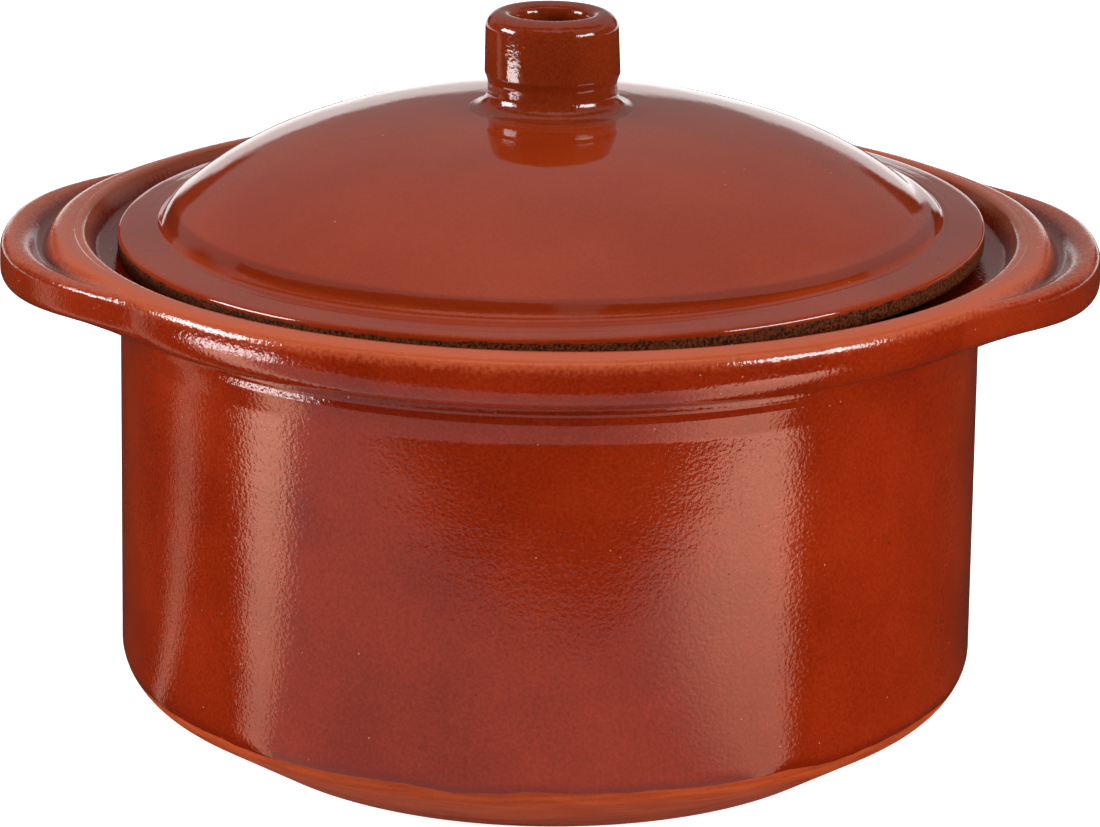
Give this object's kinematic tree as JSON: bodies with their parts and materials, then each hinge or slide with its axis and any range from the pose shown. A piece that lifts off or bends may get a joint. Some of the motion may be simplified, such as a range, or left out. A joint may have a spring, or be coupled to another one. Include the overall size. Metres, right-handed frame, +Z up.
{
  "type": "casserole pot",
  "caption": "Round glazed clay casserole pot with two ear handles under the rim and a loose domed lid lifted by a hollow knob.",
  "frame": {"origin": "on the table, under the centre of the foot", "axes": "+Z up, +X from the left ear to the right ear, -Y towards the viewer of the picture"},
  "size_m": [0.3034, 0.273, 0.2033],
  "materials": {
    "body_glaze": "gloss",
    "handle_glaze": "gloss",
    "lid_glaze": "gloss"
  },
  "bodies": {
    "pot": {"pot_body": "body_glaze", "left_handle": "handle_glaze", "right_handle": "handle_glaze"},
    "lid": {"lid_dome": "lid_glaze", "lid_knob": "lid_glaze"}
  },
  "joints": [
    {"name": "lid_lift", "type": "slide", "parent": "pot", "child": "lid", "axis": [0, 0, 1], "range_m": [0, 0.25]}
  ]
}
